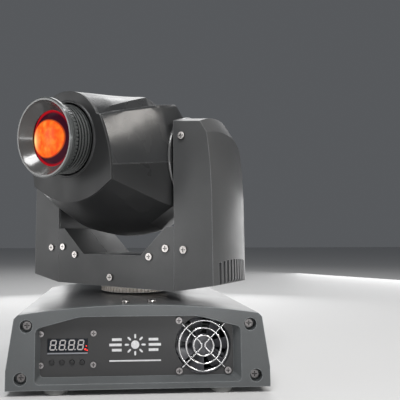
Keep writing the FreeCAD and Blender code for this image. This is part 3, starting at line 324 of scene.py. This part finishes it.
def board(name):
    """Green circuit board with copper tracks under the mask."""
    finish = Finish(name, 0.4)
    brick = finish.node("ShaderNodeTexBrick", Scale=220, Mortar_Size=0.03)
    finish.link(finish.place, brick.inputs["Vector"])
    tracks = finish.ramp(brick.outputs["Fac"], [(0.0, (0.008, 0.05, 0.022)), (1.0, (0.03, 0.12, 0.05))])
    patches = finish.remap(finish.noise(300, 2), 0.5, 0.7, 0, 0.4)
    finish.colour(finish.mix(patches, tracks, (0.02, 0.09, 0.05)))
    finish.bumps(brick.outputs["Fac"], 0.2, 0.00004)
    return finish.material


def screen(name):
    """Smoked window in front of the digits."""
    finish = Finish(name, 0.12)
    finish.set("Specular IOR Level", 0.25)
    smoke = [(0.3, (0.006, 0.009, 0.013)), (0.7, (0.010, 0.013, 0.018))]
    finish.colour(finish.ramp(finish.noise(50, 3), smoke))
    finish.bumps(finish.noise(200, 1), 0.05, 0.00002)
    return finish.material


def lit_lens(name):
    """Front lens with the lamp on behind it: an orange-red disc, a dark ring, and a red rim on the glass."""
    finish = Finish(name, 0.24)
    finish.set("Specular IOR Level", 0.1)
    local = finish.node("ShaderNodeMapping", vector_type="TEXTURE", Location=HEAD.translation,
                        Rotation=HEAD.to_euler())
    finish.link(finish.place, local.inputs["Vector"])
    split = finish.node("ShaderNodeSeparateXYZ")
    finish.link(local.outputs["Vector"], split.inputs["Vector"])

    def distance(x, z, squeeze=1.0):
        """Distance in metres from the point (x, z) of the head's front view, its x part squeezed."""
        parts = []
        for axis, middle, factor in (("X", x, squeeze), ("Z", z, 1.0)):
            away = finish.math("MULTIPLY", finish.math("SUBTRACT", split.outputs[axis], middle), factor)
            parts.append(finish.math("MULTIPLY", away, away))
        return finish.math("SQRT", finish.math("ADD", *parts), 0.0)

    mottle = finish.remap(finish.noise(160, 3), 0.35, 0.65, 0.0, 1.0)
    lamp = finish.mix(mottle, (1.0, 0.075, 0.004), (1.0, 0.21, 0.014))
    # painted highlight: the lamp's bright source as seen off-centre, fixed on the glass to the left
    source_glint = finish.remap(distance(-0.0290, OPTIC_Z + 0.001), 0.003, 0.019, 1.0, 0.0)
    lamp = finish.mix(finish.math("MULTIPLY", source_glint, source_glint), lamp, (1.0, 0.78, 0.30))
    for x, z, size in ((-0.006, OPTIC_Z + 0.0165, 0.0045), (-0.006, OPTIC_Z - 0.0105, 0.004)):
        spot = finish.remap(distance(x, z), 0.0005, size, 0.75, 0.0)
        lamp = finish.mix(spot, lamp, (1.0, 0.34, 0.05))
    ring = finish.remap(distance(0.0, OPTIC_Z), 0.0262, 0.0285, 0.0, 1.0)
    around = finish.mix(ring, (0.030, 0.003, 0.010), (0.42, 0.006, 0.012))
    edge = finish.remap(distance(-0.0048, OPTIC_Z, 0.76), 0.0182, 0.0208, 0.0, 1.0)
    finish.colour(finish.mix(edge, (0.35, 0.03, 0.01), (0.02, 0.004, 0.008)))
    finish.link(finish.mix(edge, lamp, around), finish.shader.inputs["Emission Color"])
    finish.set("Emission Strength", 1.0)
    finish.bumps(finish.noise(25, 1), 0.03, 0.00003)
    return finish.material


def lit_segment(name, colour, strength):
    """Diffused LED segment."""
    finish = Finish(name, 0.35)
    tone = finish.ramp(finish.noise(900, 2), [(0.3, scaled(colour, 0.85)), (0.7, colour)])
    finish.colour(tone)
    finish.link(tone, finish.shader.inputs["Emission Color"])
    finish.set("Emission Strength", strength)
    return finish.material


def ink(name, colour):
    """Screen-printed ink with thin spots."""
    finish = Finish(name, 0.5)
    finish.colour(finish.ramp(finish.noise(700, 3), [(0.25, scaled(colour, 0.8)), (0.6, colour)]))
    finish.roughness(300, 0.4, 0.6)
    return finish.material


# name: maker, and what it is given after the name
# In the moulded finishes the edge factor sets how light rubbed edges and painted edge highlights are, and the
# hollow colour factor how dark the painted shade in grooves is.
FINISHES = {
    "cover_plastic": (moulded, dict(colour=(0.068, 0.069, 0.070), rough=0.36, wear_and_edge_highlight=3.4)),
    "head_plastic": (moulded, dict(colour=(0.034, 0.035, 0.036), rough=0.27, coat=0.15, spread=0.05,
                                   wear_and_edge_highlight=5.0)),
    "frame_plastic": (moulded, dict(colour=(0.086, 0.092, 0.095), rough=0.38, wear_and_edge_highlight=3.6)),
    # the head plastic painted darker for the lower shell: painted shade on its downward-facing surfaces
    "shell_dark": (moulded, dict(colour=(0.021, 0.0215, 0.022), rough=0.34, spread=0.05, wear_and_edge_highlight=6.0)),
    # glossier than the head plastic, and lighter: the lighter colour is a painted highlight on the boss beads
    "boss_gloss": (moulded, dict(colour=(0.10, 0.10, 0.10), rough=0.2, coat=1.0, wear_and_edge_highlight=3.0, hollow_shade=0.8)),
    "face_plastic": (moulded, dict(colour=(0.026, 0.0265, 0.027), rough=0.42, wear_and_edge_highlight=6.0)),
    "painted_steel": (enamel, dict(colour=(0.058, 0.059, 0.061), rough=0.32)),
    "panel_metal": (enamel, dict(colour=(0.033, 0.033, 0.034), rough=0.42)),
    "steel": (metal, dict(colour=(0.62, 0.59, 0.57), rough=0.2)),
    "panel_steel": (metal, dict(colour=(0.40, 0.38, 0.38), rough=0.3)),
    # the steel painted darker for the frame screws: painted shade deep in their counterbores
    "dark_steel": (metal, dict(colour=(0.22, 0.21, 0.21), rough=0.25)),
    "chrome": (metal, dict(colour=(0.90, 0.90, 0.90), rough=0.12, scale=150, depth=0.00001, reach=0.0008)),
    "rubber": (rubbery, dict(colour=(0.19, 0.192, 0.186))),
    "black_plastic": (moulded, dict(colour=(0.012, 0.012, 0.013), rough=0.34)),
    # painted light: lighter than the fans' black plastic, to lift them out of the shade they sit in
    "fan": (moulded, dict(colour=(0.10, 0.10, 0.11), rough=0.3, hollow_shade=0.8)),
    "collar": (moulded, dict(colour=(0.66, 0.58, 0.51), rough=0.4)),
    "lens_ring": (moulded, dict(colour=(0.070, 0.074, 0.073), rough=0.22, grain=2200, depth=0.00001, coat=0.6,
                                wear_and_edge_highlight=3.0, hollow_shade=0.06, hollow=(0.5, 0.93))),
    "display": (screen, {}),
    "circuit_board": (board, {}),
    "aluminium": (metal, dict(colour=(0.7, 0.71, 0.72), rough=0.34, stretch=(1, 30, 1), reach=0.004)),
    "motor_metal": (metal, dict(colour=(0.23, 0.23, 0.24), rough=0.42, reach=0.004)),
    "glass": (lit_lens, {}),
    "wheel_metal": (metal, dict(colour=(0.5, 0.5, 0.51), rough=0.28, stretch=(20, 1, 1))),
}

# ---- CAD nodes: rounded edges and their finishes -----------------------------------------------------
USUAL_ANGLE, CRISP_ANGLE = 32, 18          # degrees; edges below this are shaded smooth
USUAL_FLATNESS, CRISP_FLATNESS = 0.4, 0.08  # degrees; neighbouring facets within this are merged
WELD_DISTANCE = 2e-6
ROUND_STEPS = 2

# edge radius in metres, for the nodes large enough to need one
ROUNDED = {
    "base_front_frame": 0.0008, "base_rear_frame": 0.0008, "base_top_cover": 0.0004,
    "front_panel": 0.0003, "rear_panel": 0.0003,
    "left_arm_cover": 0.0009, "right_arm_cover": 0.0009, "bridge_front_cover": 0.0008,
    "bridge_rear_cover": 0.0008, "yoke_frame": 0.0004,
    "head_upper_shell": 0.0008, "head_lower_shell": 0.0008, "head_front_plate": 0.0007,
    "head_rear_grille": 0.0005, "power_inlet": 0.0004, "dmx_in_socket": 0.0004, "dmx_out_socket": 0.0004,
    "display_module": 0.0003, "base_bottom_plate": 0.0003,
}
# covers whose shallow creases stay crisp
CRISP = {"head_upper_shell", "head_lower_shell", "left_arm_cover", "right_arm_cover", "base_top_cover"}
# nodes with a finish other than their CAD material's
OWN_FINISH = {
    "base_fan_rotor": "fan", "base_fan_frame": "fan", "head_fan_rotor": "fan", "pan_collar": "collar",
    "frame_screws": "dark_steel", "panel_screws": "panel_steel",
    "head_front_plate": "face_plastic", "head_lower_shell": "shell_dark",
}


def sharpness_group(degrees):
    """Geometry nodes that drop imported normals and shade smooth below an angle."""
    tree = bpy.data.node_groups.new(f"smooth_below_{degrees}", "GeometryNodeTree")
    for in_out in ("INPUT", "OUTPUT"):
        tree.interface.new_socket("Geometry", in_out=in_out, socket_type="NodeSocketGeometry")
    start, end = tree.nodes.new("NodeGroupInput"), tree.nodes.new("NodeGroupOutput")
    weld = tree.nodes.new("GeometryNodeMergeByDistance")
    weld.inputs["Distance"].default_value = WELD_DISTANCE
    drop = tree.nodes.new("GeometryNodeRemoveAttribute")
    drop.inputs["Name"].default_value = "custom_normal"
    angle = tree.nodes.new("GeometryNodeInputMeshEdgeAngle")
    compare = tree.nodes.new("FunctionNodeCompare")
    compare.operation = "LESS_EQUAL"
    compare.inputs["B"].default_value = math.radians(degrees)
    faces = tree.nodes.new("GeometryNodeSetShadeSmooth")
    faces.domain = "FACE"
    edges = tree.nodes.new("GeometryNodeSetShadeSmooth")
    edges.domain = "EDGE"
    chain = [start, weld, drop, faces, edges, end]
    for before, after in zip(chain, chain[1:]):
        tree.links.new(before.outputs[0], after.inputs[0])
    tree.links.new(angle.outputs["Unsigned Angle"], compare.inputs["A"])
    tree.links.new(compare.outputs["Result"], edges.inputs["Shade Smooth"])
    return tree


def round_edges(node, radius, degrees, flatness):
    """Merge flat facets, round the edges sharper than an angle, and keep broad faces flat-shaded."""
    flat = node.modifiers.new("flat", "DECIMATE")
    flat.decimate_type = "DISSOLVE"
    flat.angle_limit = math.radians(flatness)
    bevel = node.modifiers.new("rounded", "BEVEL")
    bevel.width = radius
    bevel.segments = ROUND_STEPS
    bevel.limit_method = "ANGLE"
    bevel.angle_limit = math.radians(degrees)
    bevel.harden_normals = False
    node.modifiers.new("weighted", "WEIGHTED_NORMAL").keep_sharp = True


def dress_nodes(finishes):
    usual, crisp = sharpness_group(USUAL_ANGLE), sharpness_group(CRISP_ANGLE)
    for name, node in NODES.items():
        slots = node.data.materials
        for index in range(len(slots)):
            kind = slots[index].name.split(".")[0] if slots[index] else "black_plastic"
            slots[index] = finishes[OWN_FINISH.get(name, kind)]
        node.modifiers.new("smooth", "NODES").node_group = crisp if name in CRISP else usual
        if name in ROUNDED and name in CRISP:
            round_edges(node, ROUNDED[name], CRISP_ANGLE, CRISP_FLATNESS)
        elif name in ROUNDED:
            round_edges(node, ROUNDED[name], USUAL_ANGLE, USUAL_FLATNESS)


# ---- added pieces ------------------------------------------------------------------------------------
def add_piece(name, verts, faces, material, body):
    mesh = bpy.data.meshes.new(name)
    mesh.from_pydata(verts, [], faces)
    mesh.validate()
    mesh.materials.append(material)
    piece = bpy.data.objects.new(name, mesh)
    bpy.context.scene.collection.objects.link(piece)
    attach(piece, body)
    return piece


def raised(outlines, front, back):
    """Solid plates between two depths, from closed (x, z) outlines, counter-clockwise seen from -Y."""
    verts, faces = [], []
    for outline in outlines:
        start, count = len(verts), len(outline)
        verts += [(x, front, z) for x, z in outline] + [(x, back, z) for x, z in outline]
        faces.append(list(range(start, start + count)))
        faces.append(list(reversed(range(start + count, start + 2 * count))))
        for i in range(count):
            j = (i + 1) % count
            faces.append([start + j, start + i, start + count + i, start + count + j])
    return verts, faces


def bar(x0, z0, x1, z1):
    return [(x0, z0), (x1, z0), (x1, z1), (x0, z1)]


def segment(a, b, width):
    """Six-sided bar between two points, pointed at both ends."""
    ax, az = a
    bx, bz = b
    length = math.hypot(bx - ax, bz - az)
    ux, uz = (bx - ax) / length, (bz - az) / length
    half = width / 2
    gap = half * 0.28
    along = [(gap, 0), (gap + half, -half), (length - gap - half, -half), (length - gap, 0),
             (length - gap - half, half), (gap + half, half)]
    return [(ax + ux * u - uz * v, az + uz * u + ux * v) for u, v in along]


def disc(x, z, radius, count=20):
    turns = [2 * math.pi * i / count for i in range(count)]
    return [(x + radius * math.cos(turn), z + radius * math.sin(turn)) for turn in turns]


DIGITS = 4
DIGIT_WIDTH, DIGIT_HEIGHT, DIGIT_PITCH = 0.0052, 0.0092, 0.0092
DIGIT_SHIFT, DIGIT_LIFT = -0.0006, 0.0004      # the row's place from the middle of the window
STROKE, SLANT = 0.00115, 0.14
POINT_GAP, POINT_RADIUS = 0.0016, 0.00065
PROUD, SUNK = 0.00025, 0.0001                  # how far the segments stand out of the window and reach in
LIP_PROUD, LIP_DROP, LIP_HEIGHT = 0.0004, 0.0009, 0.0012


def make_display():
    """Four slanted seven-segment digits with their points, a lit status point and a lip under the window."""
    (x0, y0, z0), (x1, _, z1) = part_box("display_module")
    middle, level = (x0 + x1) / 2 + DIGIT_SHIFT, (z0 + z1) / 2 + DIGIT_LIFT
    w, h = DIGIT_WIDTH, DIGIT_HEIGHT / 2
    strokes = [((0, -h), (w, -h)), ((0, 0), (w, 0)), ((0, h), (w, h)), ((0, -h), (0, 0)), ((0, 0), (0, h)),
               ((w, -h), (w, 0)), ((w, 0), (w, h))]
    outlines = []
    for place in range(DIGITS):
        left = middle + (place - (DIGITS - 1) / 2) * DIGIT_PITCH - w / 2
        shapes = [segment(a, b, STROKE) for a, b in strokes]
        if place < DIGITS - 1:
            shapes.append(disc(w + POINT_GAP, -h + 0.0001, POINT_RADIUS))
        outlines += [[(left + x + SLANT * z, level + z) for x, z in shape] for shape in shapes]
    verts, faces = raised(outlines, y0 - PROUD, y0 + SUNK)
    pale = lit_segment("digit_white", (0.42, 0.40, 0.40), 0.22)
    add_piece("display_digits", verts, faces, pale, "base")

    marks = [disc(x1 - 0.0022, level - h + 0.0002, 0.0009), disc(x1 - 0.0012, level - 0.0012, 0.0006),
             disc(x1 - 0.0004, level - h - 0.0008, 0.0006)]
    verts, faces = raised(marks, y0 - PROUD, y0 + SUNK)
    red = lit_segment("status_red", (0.95, 0.03, 0.02), 1.6)
    add_piece("display_status", verts, faces, red, "base")

    (_, panel_y, _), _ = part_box("front_panel")
    lip = bar(x0, z0 - LIP_DROP - LIP_HEIGHT, x1, z0 - LIP_DROP)
    verts, faces = raised([lip], y0 - LIP_PROUD, panel_y + SUNK)
    grey = lit_segment("lip_grey", (0.27, 0.28, 0.31), 0.0)
    bevel = add_piece("display_lip", verts, faces, grey, "base").modifiers.new("rounded", "BEVEL")
    bevel.width = 0.0002
    bevel.segments = ROUND_STEPS
    bevel.limit_method = "ANGLE"


MARK_X, MARK_Z = -0.0040, 0.0465
LAMP_RADIUS, RAYS, RAY_START, RAY_END, RAY_WIDTH = 0.0042, 8, 0.0058, 0.0112, 0.0019
BAR_START, BAR_HALF_HEIGHT = 0.0138, 0.0013
BAR_ROWS = ((0.0052, 0.0098), (0.0, 0.0125), (-0.0052, 0.0098))     # height over the lamp, and length
LINE_DROP, LINE_HALF_LENGTH, LINE_HALF_HEIGHT = 0.0158, 0.0262, 0.0007
INK_PROUD, INK_SUNK = 0.00012, 0.00005


def make_mark():
    """Generic lamp-on sign between two sets of plain bars, printed where such a panel carries its name."""
    (_, y0, _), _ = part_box("front_panel")
    outlines = [disc(MARK_X, MARK_Z, LAMP_RADIUS, 32)]
    for i in range(RAYS):
        c, s = math.cos(2 * math.pi * i / RAYS), math.sin(2 * math.pi * i / RAYS)
        outlines.append(segment((MARK_X + RAY_START * c, MARK_Z + RAY_START * s),
                                (MARK_X + RAY_END * c, MARK_Z + RAY_END * s), RAY_WIDTH))
    for side in (-1, 1):
        for row, reach in BAR_ROWS:
            start = MARK_X + side * BAR_START
            x0, x1 = sorted((start, start + side * reach))
            outlines.append(bar(x0, MARK_Z + row - BAR_HALF_HEIGHT, x1, MARK_Z + row + BAR_HALF_HEIGHT))
    line = MARK_Z - LINE_DROP
    outlines.append(bar(MARK_X - LINE_HALF_LENGTH, line - LINE_HALF_HEIGHT,
                        MARK_X + LINE_HALF_LENGTH, line + LINE_HALF_HEIGHT))
    verts, faces = raised(outlines, y0 - INK_PROUD, y0 + INK_SUNK)
    add_piece("panel_mark", verts, faces, ink("mark_white", (0.72, 0.72, 0.73)), "base")


HUB_RADIUS, HUB_SIDE, BEAD = 0.0519, 0.0873, 0.0014
BEAD_START, BEAD_SWEEP = -66, 312              # degrees round the tilt axis
BEAD_STEPS, BEAD_SIDES = 72, 10


def make_hub_beads(material):
    """Round bead along the rim of the boss on each cheek, left out where the boss is cut flat."""
    for name, side in (("hub_bead_left", -1), ("hub_bead_right", 1)):
        verts, faces = [], []
        for i in range(BEAD_STEPS + 1):
            angle = math.radians(BEAD_START + BEAD_SWEEP * i / BEAD_STEPS)
            for j in range(BEAD_SIDES):
                bend = 2 * math.pi * j / BEAD_SIDES
                across, out = HUB_SIDE + BEAD * math.sin(bend), HUB_RADIUS + BEAD * math.cos(bend)
                verts.append(HEAD @ Vector((side * across, out * math.cos(angle), out * math.sin(angle))))
        for i in range(BEAD_STEPS):
            for j in range(BEAD_SIDES):
                a, b = i * BEAD_SIDES + j, i * BEAD_SIDES + (j + 1) % BEAD_SIDES
                faces.append([a, b, b + BEAD_SIDES, a + BEAD_SIDES])
        faces.append(list(reversed(range(BEAD_SIDES))))
        faces.append([BEAD_STEPS * BEAD_SIDES + j for j in range(BEAD_SIDES)])
        if side > 0:
            faces = [face[::-1] for face in faces]
        piece = add_piece(name, verts, faces, material, "head")
        piece.data.shade_smooth()


finishes = {name: maker(name, **values) for name, (maker, values) in FINISHES.items()}
make_camera()
make_studio()
dress_nodes(finishes)
make_display()
make_mark()
make_hub_beads(finishes["boss_gloss"])
